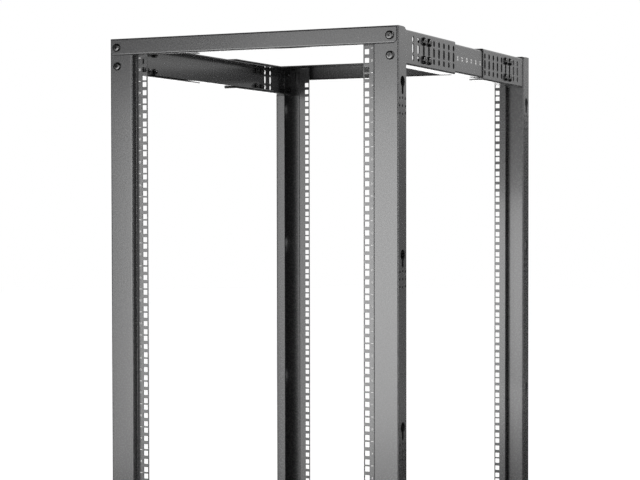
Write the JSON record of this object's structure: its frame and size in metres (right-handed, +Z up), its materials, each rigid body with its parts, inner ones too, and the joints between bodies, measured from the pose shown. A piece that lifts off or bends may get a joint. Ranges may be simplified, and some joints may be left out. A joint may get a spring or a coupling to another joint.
{
  "type": "four post open frame rack",
  "caption": "Open frame rack on four folded posts with square-hole rails, joined by folded headers and slotted depth-adjustable side beams, on levelling feet.",
  "frame": {"origin": "on the floor, in the middle of the footprint", "axes": "+X to the right seen from the front, +Y from the front rails to the rear rails, +Z up"},
  "size_m": [0.6, 0.7654, 1.2183],
  "materials": {
    "powder_coat": "fine textured satin black powder coat on steel sheet",
    "zinc_plate": "dull zinc plate on steel"
  },
  "bodies": {
    "root": {"post_front_left": "powder_coat", "post_front_right": "powder_coat", "post_rear_left": "powder_coat", "post_rear_right": "powder_coat", "header_front_top": "powder_coat", "header_front_bottom": "powder_coat", "header_rear_top": "powder_coat", "header_rear_bottom": "powder_coat", "top_bracket_front_left": "powder_coat", "top_bracket_front_right": "powder_coat", "top_bracket_rear_left": "powder_coat", "top_bracket_rear_right": "powder_coat", "bottom_bracket_front_left": "powder_coat", "bottom_bracket_front_right": "powder_coat", "bottom_bracket_rear_left": "powder_coat", "bottom_bracket_rear_right": "powder_coat", "top_slide_bar_left": "powder_coat", "top_slide_bar_right": "powder_coat", "bottom_slide_bar_left": "powder_coat", "bottom_slide_bar_right": "powder_coat", "levelling_foot_front_left": "zinc_plate", "levelling_foot_front_right": "zinc_plate", "levelling_foot_rear_left": "zinc_plate", "levelling_foot_rear_right": "zinc_plate", "foot_nut_front_left": "zinc_plate", "foot_nut_front_right": "zinc_plate", "foot_nut_rear_left": "zinc_plate", "foot_nut_rear_right": "zinc_plate"}
  },
  "joints": []
}
